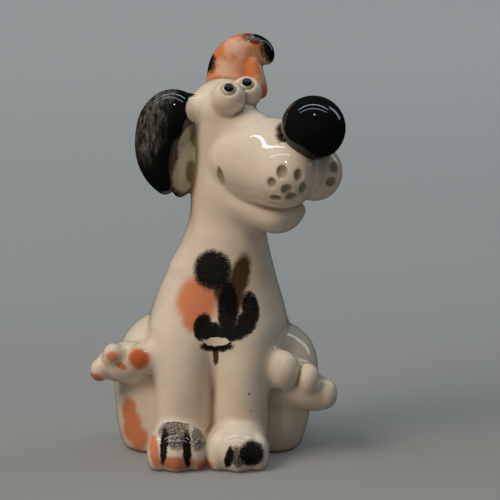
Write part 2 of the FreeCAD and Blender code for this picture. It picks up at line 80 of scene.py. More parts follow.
def sight(px, py):
    """The unit direction from the camera through one pixel of the photograph."""
    target = (CAMERA_AIM + np.array([1.0, 0.0, 0.0]) * (px - FRAME_PX / 2) / PX_PER_MM
              + CAMERA_UP * (FRAME_PX / 2 - py) / PX_PER_MM)
    ray = target - CAMERA_EYE
    return ray / np.linalg.norm(ray)


def at_depth(px, py, depth):
    """The point on one pixel's sight line at a given Y."""
    ray = sight(px, py)
    return CAMERA_EYE + ray * (depth - CAMERA_EYE[1]) / ray[1]


# Sculpting helpers. A field is negative inside the clay.
def unit(v):
    v = np.asarray(v, float)
    return v / np.linalg.norm(v)


def turn(axis, degrees):
    """A rotation matrix."""
    a = unit(axis)
    t = math.radians(degrees)
    k = np.array([[0, -a[2], a[1]], [a[2], 0, -a[0]], [-a[1], a[0], 0]])
    return np.eye(3) + math.sin(t) * k + (1 - math.cos(t)) * (k @ k)


def egg(p, centre, radii, axes=None):
    """Distance to an ellipsoid whose own axes are the columns of axes."""
    q = p - np.asarray(centre, float)
    if axes is not None:
        q = q @ axes
    r = np.asarray(radii, float)
    reach = np.sqrt(((q / r) ** 2).sum(-1))
    slope = np.sqrt(((q / r ** 2) ** 2).sum(-1)) + TINY
    return reach * (reach - 1) / slope


def blend(a, b, k):
    """Two lumps worked together, with a fillet of about size k."""
    h = np.maximum(k - np.abs(a - b), 0) / k
    return np.minimum(a, b) - h * h * k / 4


def carve(a, b, k):
    """a without b, with a rounded rim."""
    return -blend(-a, b, k)


def spline(rows):
    """Catmull-Rom through rows of numbers."""
    rows = np.asarray(rows, float)
    padded = np.vstack([2 * rows[0] - rows[1], rows, 2 * rows[-1] - rows[-2]])
    out = []
    for i in range(1, len(padded) - 2):
        a, b, c, d = padded[i - 1:i + 3]
        for t in np.linspace(0, 1, SPLINE_STEPS, endpoint=False):
            out.append(0.5 * (2 * b + (c - a) * t + (2 * a - 5 * b + 4 * c - d) * t ** 2
                              + (3 * b - a - 3 * c + d) * t ** 3))
    out.append(rows[-1])
    return np.array(out)


def near(p, low, high, field):
    """A field worked out only inside a box with a margin."""
    inside = ((p > np.asarray(low) - NEAR_MARGIN) & (p < np.asarray(high) + NEAR_MARGIN)).all(-1)
    out = np.full(p.shape[:-1], FAR)
    if inside.any():
        out[inside] = field(p[inside])
    return out


class Tower:
    """An upright tube. Rows: z, x, y, half width, half depth."""

    def __init__(self, rows):
        self.path = spline(rows)
        reach = self.path[:, 3:5].max()
        self.low = np.array([self.path[:, 1].min() - reach, self.path[:, 2].min() - reach, self.path[0, 0]])
        self.high = np.array([self.path[:, 1].max() + reach, self.path[:, 2].max() + reach, self.path[-1, 0]])

    def __call__(self, p):
        return near(p, self.low, self.high, self.field)

    def field(self, p):
        z = p[..., 2]
        cx, cy, rx, ry = [np.interp(z, self.path[:, 0], self.path[:, i]) for i in range(1, 5)]
        u, v = p[..., 0] - cx, p[..., 1] - cy
        reach = np.sqrt((u / rx) ** 2 + (v / ry) ** 2)
        slope = np.sqrt((u / rx ** 2) ** 2 + (v / ry ** 2) ** 2) + TINY
        return np.maximum(reach * (reach - 1) / slope, np.maximum(self.path[0, 0] - z, z - self.path[-1, 0]))


class Roll:
    """A row of eggs run together along a curve. Rows: x, y, z, half width, half thickness."""

    def __init__(self, rows, face):
        fine = spline(rows)
        travelled = np.concatenate([[0], np.cumsum(np.linalg.norm(np.diff(fine[:, :3], axis=0), axis=1))])
        stops = np.linspace(0, travelled[-1], max(2, round(travelled[-1] / ROLL_SPACING)))
        self.path = np.stack([np.interp(stops, travelled, column) for column in fine.T], 1)
        face = unit(face)
        along = np.gradient(self.path[:, :3], axis=0)
        along -= np.outer(along @ face, face)
        along /= np.linalg.norm(along, axis=1, keepdims=True)
        self.eggs = []
        for row, forward in zip(self.path, along):
            length = row[3:5].min()
            crowd = math.sqrt(2 * math.pi * ROLL_MELT * length) / ROLL_SPACING
            axes = np.stack([np.cross(face, forward), face, forward], 1)
            self.eggs.append((row[:3], (row[3], row[4], length), axes, ROLL_MELT * math.log(max(crowd, 1.0))))
        reach = self.path[:, 3:5].max()
        self.low = self.path[:, :3].min(0) - reach
        self.high = self.path[:, :3].max(0) + reach

    def __call__(self, p):
        return near(p, self.low, self.high, self.field)

    def field(self, p):
        total = 0
        for centre, radii, axes, swell in self.eggs:
            total = total + np.exp(np.clip((-egg(p, centre, radii, axes) - swell) / ROLL_MELT, *EXPONENTS))
        return -ROLL_MELT * np.log(np.maximum(total, LEAST_SUM))


def ball(p, centre, radii, axes=None):
    """An egg worked out only near itself."""
    centre = np.asarray(centre, float)
    reach = np.max(radii)
    return near(p, centre - reach, centre + reach, lambda q: egg(q, centre, radii, axes))


# Trunk. Rows: z, x, y, half width, half depth.
TORSO = Tower([
    (-4, 0.6, 5.6, 8.6, 8.0), (0, 0.6, 5.6, 9.2, 8.7), (5, 0.6, 5.6, 10.0, 9.5), (10, 0.6, 5, 11.6, 11.0),
    (16, 0.6, 3.6, 13.2, 12.2), (22, 0.6, 2.0, 14.2, 12.8), (27, 0.6, 1.0, 14.7, 12.6),
    (31, 0.6, 0.6, 14.1, 11.9), (36, 0.8, 0.3, 12.5, 10.8), (41, 1.2, 0.2, 10.8, 9.6),
    (46, 1.9, 0.2, 9.0, 8.5), (50, 2.3, 0.4, 8.0, 7.8),
    (54, 2.4, 0.5, 7.7, 7.6), (59, 2.3, 0.8, 7.6, 7.5), (65, 1.7, 1.5, 7.4, 7.4), (72.4, 1.3, 1.7, 7.3, 7.4)])
RUMP = Tower([
    (-4, 0.6, 10, 13.0, 9.0), (0, 0.6, 10, 15.4, 10.6), (1.2, 0.6, 10, 16.4, 11.4),
    (6, 0.6, 10, 17.8, 12.4), (13, 0.6, 9.8, 17.6, 12.4), (19, 0.6, 9.2, 15.8, 11.4),
    (24, 0.6, 8.2, 12.8, 9.4), (28, 0.6, 6.4, 8.3, 6.2), (31.5, 0.6, 5.0, 2.6, 2.2)])
NECK_TOP = 58.0
CREVICE_TOP = 71.5

# Front legs: places across, and half widths at mid height.
LEG_ACROSS = {"right": -6.7, "left": 5.3}
LEG_HALF_WIDTH = {"right": 5.95, "left": 5.75}


def front_leg(side):
    s, x, half = SIDES[side], LEG_ACROSS[side], LEG_HALF_WIDTH[side]
    return Tower([
        (-4, x - 0.3, -11, half, 5.6), (0, x - 0.3, -11, half, 5.6), (5, x - 0.2, -10.8, half, 5.6),
        (10, x - 0.1, -10.2, half, 5.6), (15, x, -9.4, half, 6.2), (20, x, -8.2, half + 0.4, 6.9),
        (24, x, -6.8, half + 0.9, 7.3), (28, x - 0.2 * s, -5.4, half + 1.2, 7.2),
        (32, x - 0.5 * s, -4.0, 5.4, 6.2), (36, x - 0.8 * s, -2.8, 3.4, 4.0), (38, x - s, -2.0, 1.5, 2.0)])


FRONT_LEGS = {side: front_leg(side) for side in SIDES}
PAW_ACROSS = {"right": -8.1, "left": 4.7}
PAW_HALF_WIDTH = {"right": 6.2, "left": 6.6}
# Y and Z of a paw's middle, its half length and half height, and the same for its toes.
PAW_PLACE = (-15.6, 3.6)
PAW_HALF_SIZES = (7.8, 5.6)
PAW_TOE_PLACE = (-19.4, 3.1)
PAW_TOE_RADII = (2.45, 4.1, 4.3)
# Places of the toes across, as shares of the paw's half width, and how far the outer ones lie back.
PAW_TOE_SHARES = (-0.62, 0.0, 0.62)
PAW_TOE_BACK = 2.2


def front_paw(p, side):
    """A flat-bottomed lump with three toes."""
    x, half = PAW_ACROSS[side], PAW_HALF_WIDTH[side]
    d = ball(p, (x, *PAW_PLACE), (half, *PAW_HALF_SIZES))
    y, z = PAW_TOE_PLACE
    for share in PAW_TOE_SHARES:
        toe = ball(p, (x + share * half, y + abs(share) * PAW_TOE_BACK, z), PAW_TOE_RADII)
        d = blend(d, toe, FILLETS["paw_toe"])
    return d


# Hind legs. Rows: z, x, y, half width, half depth.
THIGHS = {
    "right": Tower([
        (-4, -13, 1.5, 4.6, 6.0), (0, -13, 1.5, 6.0, 7.4), (1.2, -13.2, 1.5, 7.0, 8.4),
        (5, -13.4, 2, 7.9, 9.4), (10, -13.4, 2.6, 8.4, 10.0), (15, -13.2, 3.2, 8.8, 10.2),
        (20, -12.8, 3.8, 8.5, 9.8), (24, -12.4, 4.4, 7.2, 8.2), (27, -12.2, 4.8, 4.6, 5.4),
        (28.6, -12.2, 5.0, 1.6, 1.8)]),
    "left": Tower([
        (-4, 12, 1.5, 4.2, 6.0), (0, 12, 1.5, 5.4, 7.4), (1.2, 12.2, 1.5, 6.2, 8.4), (5, 12.6, 2, 7.0, 9.4),
        (10, 13, 2.6, 7.7, 9.8), (15, 13.4, 3.2, 8.4, 9.8), (19, 13.6, 3.8, 8.1, 9.0),
        (22.5, 13.6, 4.4, 6.8, 7.4), (25, 13.6, 4.8, 4.4, 5.0), (26.4, 13.6, 5.0, 1.6, 1.8)]),
}
# Hind feet and toes: centre, radii, and for a foot its lift in degrees.
FEET = {
    "right": ((-18.8, -6.0, 20.2), (6.6, 4.0, 4.4), -8),
    "left": ((18.4, -6.2, 14.6), (7.2, 4.2, 4.4), 26),
}
TOES = {
    "right": {
        "inner": ((-15.5, -8.8, 21.6), (3.1, 3.0, 3.2)),
        "middle": ((-21.6, -8.2, 22.2), (2.3, 2.6, 2.4)),
        "outer": ((-24.6, -7.0, 18.6), (2.1, 2.5, 2.4))},
    "left": {
        "inner": ((14.3, -9.2, 19.0), (3.5, 3.5, 4.2)),
        "middle": ((19.6, -8.7, 17.0), (2.5, 3.0, 3.4)),
        "outer": ((23.6, -7.0, 13.4), (2.2, 2.6, 3.1))},
}
# Tail lumps: centre, radii and turn in degrees.
TAIL_LUMPS = (((6.3, 21.4, 3.2), (6.5, 3.1, 3.1), -14), ((13.4, 18.4, 3.2), (4.7, 2.5, 2.5), -46))

# Head: everything on it is placed sideways, forwards and up from the middle of the skull.
HEAD = np.array([1.3, 1.7, 72.4])
HEAD_TURN = 50.0
HEAD_AXES = turn((0, 0, 1), HEAD_TURN) @ np.array([[1.0, 0, 0], [0, -1.0, 0], [0, 0, 1.0]])
BROW_TILT = -14.0


def on_head(left, forward, up):
    """A point given on the head's own axes."""
    return HEAD + HEAD_AXES @ np.array([left, forward, up], float)


def head_ball(p, place, radii, tilt=0.0):
    axes = HEAD_AXES @ turn((1, 0, 0), tilt) if tilt else HEAD_AXES
    return ball(p, on_head(*place), radii, axes)


# Lumps of the head: place and radii.
SKULL_RADII = (7.3, 7.4, 7.3)
BROW = ((0, 7.2, -4.9), (5.8, 8.4, 6.3))
SNOUT = (((0, 13.2, -9.4), (9.7, 11.3, 9.6)), ((0, 6.4, -9.6), (8.2, 8.0, 7.6)))
JOWL = ((4.8, 21.4, -11.1), (5.8, 5.8, 6.1))
# Jaw. Rows: forwards, up, half width and half thickness. It runs from the first place to the second.
JAW_ROWS = ((4.5, -15.2, 6.0, 3.4), (10.0, -18.2, 6.6, 4.2), (15.4, -20.4, 5.3, 3.9), (19.4, -19.0, 3.8, 2.2))
JAW_RUN = ((0, 3, -15.2), (0, 17, -20.2))
JAW = Roll([(*on_head(0, forwards, up), *sizes) for forwards, up, *sizes in JAW_ROWS],
           np.cross(HEAD_AXES[:, 0], on_head(*JAW_RUN[1]) - on_head(*JAW_RUN[0])))
NOSE_CENTRE = np.array([20.3, -14.3, 71.3])
NOSE_RADIUS = 6.72
EYES = {
    "right": (np.array([2.65, -4.4, 76.35]), 3.65, unit((0.055, -0.72, 0.696))),
    "left": (np.array([6.5, 0.25, 77.0]), 3.35, unit((0.03, -0.685, 0.724))),
}


def ear_rows(rows):
    """Rows placed by pixels and depth, as a roll takes them."""
    return [tuple(at_depth(px, py, depth)) + sizes for px, py, depth, sizes in rows]


# Ears. Rows: pixel of the photograph, depth, half width and half thickness.
HANGING_EAR = Roll(ear_rows([
    (184, 104, -1.4, (2.6, 2.9)), (172, 109, -2.3, (4.6, 3.6)), (163, 122, -3.1, (5.3, 3.8)),
    (157, 140, -3.5, (4.8, 3.5)), (156, 158, -3.7, (4.2, 3.2)), (160, 174, -3.8, (3.2, 2.8)),
    (166, 187, -3.9, (1.9, 2.0))]), (0.12, 0.99, 0))
# The roll at the top, where the ear folds over, its paler inner side against the head, and its root.
HANGING_EAR_LUMPS = (((177, 119, -3.1), (3.4, 3.5, 4.4), 0), ((182, 160, -2.0), (3.1, 2.7, 8.0), 4),
                     ((191.5, 111, -1.4), (2.6, 3.0, 2.8), 0))
STANDING_EAR = Roll(ear_rows([
    (237, 96, 7.0, (6.3, 3.2)), (233, 80, 7.6, (5.9, 3.2)), (232, 65, 8.0, (5.1, 3.1)),
    (239, 52, 8.3, (3.9, 2.9)), (252, 46, 8.5, (2.8, 2.7)), (263, 50, 8.6, (2.3, 2.4)),
    (266.5, 58, 8.4, (1.8, 2.0))]), (0, 1, 0))
STANDING_EAR_FOLD = Roll(ear_rows([
    (253, 62, 7.2, (1.5, 2.2)), (255, 72, 6.6, (1.8, 2.4)), (258, 84, 6.0, (1.8, 2.4)),
    (261, 93, 5.8, (1.5, 2.0))]), (0, 1, 0))


def clay(p):
    """Each lump's own field, by the node that it stands for."""
    d = {"torso_shell": TORSO(p), "rump": RUMP(p)}
    for side in SIDES:
        d[f"front_leg_{side}"] = FRONT_LEGS[side](p)
        d[f"front_paw_{side}"] = front_paw(p, side)
        d[f"hind_leg_{side}"] = THIGHS[side](p)
        centre, radii, lift = FEET[side]
        d[f"hind_foot_{side}"] = ball(p, centre, radii, turn((0, 1, 0), lift))
        for toe, (centre, radii) in TOES[side].items():
            d[f"hind_toe_{side}_{toe}"] = ball(p, centre, radii)
        (across, forwards, up), radii = JOWL
        d[f"jowl_{side}"] = head_ball(p, (SIDES[side] * across, forwards, up), radii)
        centre, radius, _ = EYES[side]
        d[f"eye_{side}"] = ball(p, centre, (radius,) * 3)
    root, tip = [ball(p, centre, radii, turn((0, 0, 1), angle)) for centre, radii, angle in TAIL_LUMPS]
    d["tail"] = blend(root, tip, FILLETS["tail_tip"])
    d["head_shell"] = ball(p, HEAD, SKULL_RADII)
    d["muzzle"] = blend(*[head_ball(p, *lump) for lump in SNOUT], FILLETS["snout"])
    d["brow"] = head_ball(p, *BROW, BROW_TILT)
    d["lower_jaw"] = JAW(p)
    ear = HANGING_EAR(p)
    for (px, py, depth), radii, lean in HANGING_EAR_LUMPS:
        lump = ball(p, at_depth(px, py, depth), radii, turn((0, 1, 0), lean))
        ear = blend(ear, lump, FILLETS["ear_lump"])
    d["ear_right"] = ear
    d["ear_left"] = blend(STANDING_EAR(p), STANDING_EAR_FOLD(p), FILLETS["ear_lump"])
    return d


def worked(d):
    """The lumps worked together, each joint with its own fillet."""
    body = blend(d["torso_shell"], d["rump"], FILLETS["rump"])
    legs = blend(d["front_leg_right"], d["front_leg_left"], FILLETS["legs"])
    body = blend(body, legs, FILLETS["leg"])
    for side in SIDES:
        body = blend(body, d[f"front_paw_{side}"], FILLETS["paw"])
    for side in SIDES:
        foot = d[f"hind_foot_{side}"]
        for toe in TOES[side]:
            foot = blend(foot, d[f"hind_toe_{side}_{toe}"], FILLETS["hind_toe"])
        hind = blend(d[f"hind_leg_{side}"], foot, FILLETS["hind_foot"])
        body = blend(body, hind, FILLETS["hind_leg"])
    body = blend(body, d["tail"], FILLETS["tail"])
    head = blend(np.minimum(d["torso_shell"], d["head_shell"]), d["lower_jaw"], FILLETS["jaw"])
    head = blend(head, d["brow"], FILLETS["brow"])
    face = d["muzzle"]
    for side in SIDES:
        face = blend(face, d[f"jowl_{side}"], FILLETS[f"jowl_{side}"])
    head = blend(head, face, FILLETS["face"])
    for side in SIDES:
        head = blend(head, d[f"eye_{side}"], FILLETS["eye"])
    for side in ("left", "right"):
        head = blend(head, d[f"ear_{side}"], FILLETS[f"ear_{side}"])
    return np.minimum(body, head)


# Marks made with a tool. Rows: pixel of the photograph, then half width, half height and depth in millimetres.
WHISKER_PITS = (
    (282, 172, 1.1, 1.45, 0.85), (299, 175.5, 0.95, 1.25, 0.8), (271.5, 183, 0.95, 1.05, 0.75),
    (287, 190, 1.15, 1.15, 0.85), (303, 188, 0.85, 1.1, 0.75), (275.5, 198.5, 1.15, 0.75, 0.75),
    (291.5, 197, 1.15, 0.85, 0.75), (334, 168, 1.2, 1.35, 0.8), (331.5, 182, 1.3, 1.05, 0.8),
    (341, 154, 0.9, 1.2, 0.65))
MOUTH_CORNER = (220.5, 177, 1.1, 2.2, 0.7)
# A sight line starts this far before the aim, and goes on in this many steps, each a share of the field.
SIGHT_START = 60.0
SIGHT_STEPS = 120
SIGHT_SHARE = 0.7
SIGHT_STRIDE = 2.0


def seen(pixels):
    """Where the camera's sight lines through some pixels meet the worked clay."""
    rays = np.array([sight(px, py) for px, py in pixels])
    reach = np.full(len(rays), CAMERA_DISTANCE - SIGHT_START)
    for _ in range(SIGHT_STEPS):
        ahead = worked(clay(CAMERA_EYE + rays * reach[:, None]))
        reach += SIGHT_SHARE * np.clip(ahead, -SIGHT_STRIDE, SIGHT_STRIDE)
    return CAMERA_EYE + rays * reach[:, None]


def slope(field, p, step):
    """A field's gradient, and its bend: negative in a crease."""
    g = np.empty_like(p)
    bend = -6 * field(p)
    for i in range(3):
        shift = np.zeros(3)
        shift[i] = step
        ahead, behind = field(p + shift), field(p - shift)
        g[:, i] = (ahead - behind) / (2 * step)
        bend += ahead + behind
    return g, bend / step ** 2


PITS = list(WHISKER_PITS) + [MOUTH_CORNER]
PIT_PLACES = seen([row[:2] for row in PITS])
PIT_SLOPE_STEP = 0.4
PIT_NORMALS = slope(lambda p: worked(clay(p)), PIT_PLACES, PIT_SLOPE_STEP)[0]
RING_RADIUS, RING_WIRE = 1.62, 0.34
VENT_CENTRE, VENT_RADIUS, VENT_DEPTH = (0.6, 8.8), 1.5, 5.0


def pit_field(p):
    """Small hollows pressed into the jowls and at the mouth's corner."""
    d = np.full(p.shape[:-1], FAR)
    for (_, _, half_wide, half_high, deep), place, normal in zip(PITS, PIT_PLACES, PIT_NORMALS):
        out = unit(normal)
        across = unit(np.cross((0, 0, 1), out))
        axes = np.stack([across, np.cross(out, across), out], 1)
        d = np.minimum(d, ball(p, place, (half_wide, half_high, deep), axes))
    return d


def ring_field(p):
    """The grooved ring round each pupil."""
    d = np.full(p.shape[:-1], FAR)
    for centre, radius, gaze in EYES.values():
        q = p - centre
        along = q @ gaze
        around = np.sqrt(np.maximum((q ** 2).sum(-1) - along ** 2, 0))
        middle = math.sqrt(radius ** 2 - RING_RADIUS ** 2)
        d = np.minimum(d, np.hypot(around - RING_RADIUS, along - middle) - RING_WIRE)
    return d


def vent_field(p):
    """The kiln vent in the underside."""
    aside = np.hypot(p[..., 0] - VENT_CENTRE[0], p[..., 1] - VENT_CENTRE[1])
    return np.maximum(aside - VENT_RADIUS, p[..., 2] - VENT_DEPTH)


def skin(p):
    """The whole glazed surface: worked, pressed, pricked and cut flat underneath."""
    d = worked(clay(p))
    d = carve(d, pit_field(p), RIMS["pit"])
    d = carve(d, ring_field(p), RIMS["ring"])
    d = carve(d, vent_field(p), RIMS["vent"])
    return carve(d, p[..., 2], RIMS["base"])


# Meshing. Blocks of the grid: cells a side, the reach in blocks that still counts as near the surface,
# and how many points or blocks are worked out at once.
BLOCK = 6
BLOCK_REACH = 1.35
POINTS_AT_ONCE = 40000
BLOCKS_AT_ONCE = 400
# Drawing the vertices onto the surface.
SETTLE_ROUNDS = 3
SETTLE_STEP = 0.03
LEAST_SLOPE = 1e-3


def sample(field, low, high, h):
    """The field on a grid of step h, worked out fully only near the surface."""
    low, high = np.asarray(low, float), np.asarray(high, float)
    big = h * BLOCK
    blocks = np.ceil((high - low) / big).astype(int)
    out = np.full(blocks * BLOCK + 1, FAR, np.float32)
    centres = [low[i] + big * (np.arange(blocks[i]) + 0.5) for i in range(3)]
    grid = np.stack(np.meshgrid(*centres, indexing="ij"), -1).reshape(-1, 3)
    parts = np.array_split(grid, len(grid) // POINTS_AT_ONCE + 1)
    d = np.concatenate([field(part) for part in parts]).reshape(blocks)
    fill = np.where(d < 0, -FAR, FAR).astype(np.float32)
    out[:-1, :-1, :-1] = np.repeat(np.repeat(np.repeat(fill, BLOCK, 0), BLOCK, 1), BLOCK, 2)
    ids = np.argwhere(np.abs(d) < big * BLOCK_REACH)
    steps = np.arange(BLOCK + 1)
    local = np.stack(np.meshgrid(steps, steps, steps, indexing="ij"), -1).reshape(-1, 3)
    for start in range(0, len(ids), BLOCKS_AT_ONCE):
        corner = ids[start:start + BLOCKS_AT_ONCE] * BLOCK
        i = (corner[:, None, :] + local[None]).reshape(-1, 3)
        out[i[:, 0], i[:, 1], i[:, 2]] = field(low + i * h)
    return out, low


def nets(grid, low, h):
    """Surface nets: the vertices and quads of the zero level."""
    inside = grid < 0
    cells = np.array(grid.shape) - 1
    total = np.zeros(cells, np.float32)
    sums = [np.zeros(cells, np.float32) for _ in range(3)]
    edges = []
    for axis in range(3):
        a, b = [slice(None)] * 3, [slice(None)] * 3
        a[axis], b[axis] = slice(0, -1), slice(1, None)
        ga, gb = grid[tuple(a)], grid[tuple(b)]
        cross = inside[tuple(a)] != inside[tuple(b)]
        i = np.argwhere(cross)
        t = ga[cross] / (ga[cross] - gb[cross])
        u, w = (axis + 1) % 3, (axis + 2) % 3
        edges.append((u, w, i, inside[tuple(a)][cross]))
        for du in (0, -1):
            for dw in (0, -1):
                c = i.copy()
                c[:, u] += du
                c[:, w] += dw
                ok = ((c >= 0) & (c < cells)).all(1)
                key = tuple(c[ok].T)
                np.add.at(total, key, 1)
                for k in range(3):
                    value = i[ok][:, k].astype(np.float32) + (t[ok] if k == axis else 0)
                    np.add.at(sums[k], key, value)
    active = total > 0
    number = np.full(cells, -1, np.int64)
    number[active] = np.arange(active.sum())
    verts = np.stack([s[active] / total[active] for s in sums], 1) * h + low
    quads = []
    for u, w, i, a_inside in edges:
        ok = (i[:, u] > 0) & (i[:, w] > 0) & (i[:, u] < cells[u]) & (i[:, w] < cells[w])
        i, a_inside = i[ok], a_inside[ok]
        corners = []
        for du, dw in ((0, 0), (-1, 0), (-1, -1), (0, -1)):
            c = i.copy()
            c[:, u] += du
            c[:, w] += dw
            corners.append(number[tuple(c.T)])
        q = np.stack(corners, 1)
        q[~a_inside] = q[~a_inside][:, ::-1]
        quads.append(q)
    return verts, np.vstack(quads)


def settle(field, verts, limit):
    """Vertices drawn onto the surface, none further than the limit at a time."""
    for _ in range(SETTLE_ROUNDS):
        g, _ = slope(field, verts, SETTLE_STEP)
        move = -(field(verts) / np.maximum((g ** 2).sum(1), LEAST_SLOPE))[:, None] * g
        size = np.linalg.norm(move, axis=1, keepdims=True)
        verts = verts + move * np.minimum(1, limit / np.maximum(size, TINY))
    return verts


def meshed(field, low, high, h):
    """A field's surface in a box: vertices and quads."""
    grid, low = sample(field, low, high, h)
    verts, quads = nets(grid, low, h)
    return settle(field, verts, h), quads


# How far a patch's rim is turned into the clay, in millimetres.
SKIRT_MM = 0.9


def closed(verts_used, normals_used, quads):
    """Caps for a patch's open rims: a skirt straight into the clay, then a fan of triangles across it."""
    edges = np.concatenate([quads[:, [i, (i + 1) % 4]] for i in range(4)])
    key = np.sort(edges, 1)
    _, first, counts = np.unique(key, axis=0, return_index=True, return_counts=True)
    rim = edges[first[counts == 1]]
    if not len(rim):
        return np.empty((0, 3)), []
    rim_verts = np.unique(rim)
    sunk = {v: len(verts_used) + i for i, v in enumerate(rim_verts)}
    points = [verts_used[v] - normals_used[v] * SKIRT_MM for v in rim_verts]
    parent = {v: v for v in rim_verts}

    def root(v):
        while parent[v] != v:
            parent[v] = parent[parent[v]]
            v = parent[v]
        return v
    for a, b in rim:
        parent[root(a)] = root(b)
    loops = {}
    for a, b in rim:
        loops.setdefault(root(a), []).append((a, b))
    faces = []
    for loop in loops.values():
        apex = len(verts_used) + len(points)
        points.append(verts_used[np.unique(np.array(loop))].mean(0))
        for a, b in loop:
            faces += [(b, a, sunk[a], sunk[b]), (sunk[b], sunk[a], apex)]
    return np.array(points), faces


def piece(name, verts, faces, normals, attributes, materials, face_slots):
    """One visible piece, in place, that stands for its node."""
    mesh = bpy.data.meshes.new(f"{name}_glazed")
    mesh.from_pydata((verts * MM).tolist(), [], [list(face) for face in faces])
    for material in materials:
        mesh.materials.append(material)
    mesh.polygons.foreach_set("material_index", np.asarray(face_slots, np.int32))
    mesh.polygons.foreach_set("use_smooth", np.ones(len(mesh.polygons), bool))
    for key, values in attributes.items():
        layer = mesh.attributes.new(key, "FLOAT", "POINT")
        layer.data.foreach_set("value", np.asarray(values, np.float32))
    mesh.normals_split_custom_set_from_vertices(normals.tolist())
    obj = bpy.data.objects.new(f"{name}_glazed", mesh)
    bpy.context.scene.collection.objects.link(obj)
    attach(obj, "root")
    return obj


# Materials. Colours are linear.
CREAM = (0.80, 0.66, 0.525)
# Olive-brown of pooled glaze, also the painted shade of creases, pits and the ear's crevice.
POOLED_GLAZE_SHADE = (0.17, 0.115, 0.035)
BLACK = (0.006, 0.0065, 0.006)
ORANGE = (0.70, 0.21, 0.08)
PEACH = (0.82, 0.52, 0.36)
BROWN = (0.065, 0.028, 0.006)
RUST = (0.50, 0.085, 0.02)
THIN_BLACK = (0.21, 0.20, 0.165)
# Beige of the ear's inner side, darkened with painted shade where it faces away from the light.
SHADED_LINING = (0.52, 0.45, 0.32)
BARE_CLAY = (0.62, 0.52, 0.40)


# The mix node's sockets for colours.
MIX_INPUTS, MIX_OUTPUT = (6, 7), 2


class Nodes:
    """A short way to write a material's nodes."""

    def __init__(self, name):
        self.material = bpy.data.materials.new(name)
        self.material.use_nodes = True
        self.tree = self.material.node_tree
        self.tree.nodes.clear()
        self.coords = self.node("ShaderNodeTexCoord").outputs["Object"]

    def node(self, kind, inputs=None, **props):
        item = self.tree.nodes.new(kind)
        for key, value in props.items():
            setattr(item, key, value)
        for key, value in (inputs or {}).items():
            self.put(item.inputs[key], value)
        return item

    def put(self, socket, value):
        if isinstance(value, bpy.types.NodeSocket):
            self.tree.links.new(value, socket)
        else:
            socket.default_value = value

    def math(self, operation, *values, clamp=False):
        item = self.node("ShaderNodeMath", operation=operation, use_clamp=clamp)
        for socket, value in zip(item.inputs, values):
            self.put(socket, value)
        return item.outputs[0]

    def noise(self, scale, detail=3.0, rough=0.55, coords=None):
        item = self.node("ShaderNodeTexNoise", {"Vector": coords or self.coords, "Scale": scale,
                                                "Detail": detail, "Roughness": rough})
        return item.outputs["Fac"]

    def ramp(self, value, low, high, out_low=0.0, out_high=1.0):
        item = self.node("ShaderNodeMapRange", {"Value": value, "From Min": low, "From Max": high,
                                                "To Min": out_low, "To Max": out_high},
                         interpolation_type="SMOOTHSTEP")
        return item.outputs["Result"]

    def mix(self, factor, a, b):
        item = self.node("ShaderNodeMix", data_type="RGBA")
        self.put(item.inputs[0], factor)
        for socket, value in zip(MIX_INPUTS, (a, b)):
            self.put(item.inputs[socket], (*value, 1.0) if isinstance(value, tuple) else value)
        return item.outputs[MIX_OUTPUT]


# Underglaze paint. Rows: pixel of the middle, half width and half height in pixels, lean in degrees.
PAINT = {
    "chest": {
        "orange": [(197, 300, 21, 23, 0), (195, 318, 13, 15, -20)],
        "brown": [(240, 277, 9, 22, 14), (234, 294, 10, 20, 8), (224, 292, 9, 12, 0), (215.5, 356, 2.6, 9, 0),
                  (249, 394, 0.9, 0.9, 0), (251, 411, 0.7, 0.7, 0)],
        "black": [(212.5, 270, 18.5, 19, 0), (228, 311, 10, 30, 0), (250.5, 309, 8.5, 17, -6),
                  (246, 323, 10, 14, 30), (233, 332, 16, 9, -14), (202, 325, 8, 11, 20), (210, 331, 13, 9, 10),
                  (199, 333, 5, 8, -24), (217, 345.5, 16, 6, -3)],
        "white": [(217, 341.5, 12, 4.4, -3)],
    },
    "paws": {
        "sooty": [(173, 428, 18, 12, 0), (178, 440, 13, 10, 0), (199, 438, 9, 14, 0), (238, 457, 8, 12, 0)],
        "black": [(164, 444, 3.6, 20, 4), (187, 448, 4, 19, -2), (229, 458, 4, 11, 12),
                  (252, 454, 11.5, 12.5, 0)],
        "orange": [(176, 464, 22, 7, 4), (154, 450, 4.5, 18, -6), (205, 464, 8, 5, 0)],
    },
    "hind": {
        "rust": [(138.5, 359.5, 9.5, 9, 0)],
        "orange": [(129, 412, 8, 15, 4), (132, 427, 10, 17, 10), (139, 439, 9, 13, 20),
                   (138.5, 359.5, 11, 10.5, 0), (112, 357, 6, 5, 0), (121, 366, 6, 3, 32), (97, 379, 8, 5, 30)],
    },
    "ear_right": {
        "thin": [(148, 126, 17, 34, 8), (158, 100, 20, 9, -30)],
        # The ear's beige inner side, darkened with painted shade.
        "shaded_lining": [(189, 148, 11, 22, 6), (184, 174, 11, 20, 8), (172, 193, 18, 5, 8)],
        "white": [(197, 109, 11, 14, -6)],
        # Painted shade and pooled glaze in the crevices where the ear meets the head.
        "olive": [(194, 134, 4.5, 13, 0), (191, 172, 5, 12, 0)],
    },
    "ear_left": {
        "sooty": [(268, 51, 9, 15, -20), (255, 39, 15, 5.5, 12), (211, 64, 6, 11, 14)],
        "black": [(270, 50, 5, 12, -20), (262, 38, 9, 2.6, 20), (210, 64, 2.6, 8, 14)],
    },
}
# In the order of painting, the last on top.
PAINT_COLOURS = {
    "thin": THIN_BLACK, "shaded_lining": SHADED_LINING, "orange": ORANGE, "rust": RUST, "brown": BROWN,
    "sooty": BLACK, "black": BLACK, "white": CREAM, "olive": POOLED_GLAZE_SHADE}
SPOTS = [(group, colour, row)
         for group, colours in PAINT.items() for colour, rows in colours.items() for row in rows]
SPOT_PLACES = seen([row[:2] for _, _, row in SPOTS])
# How deep a spot reaches along the line of sight, in millimetres.
SPOT_DEPTH = 5.0


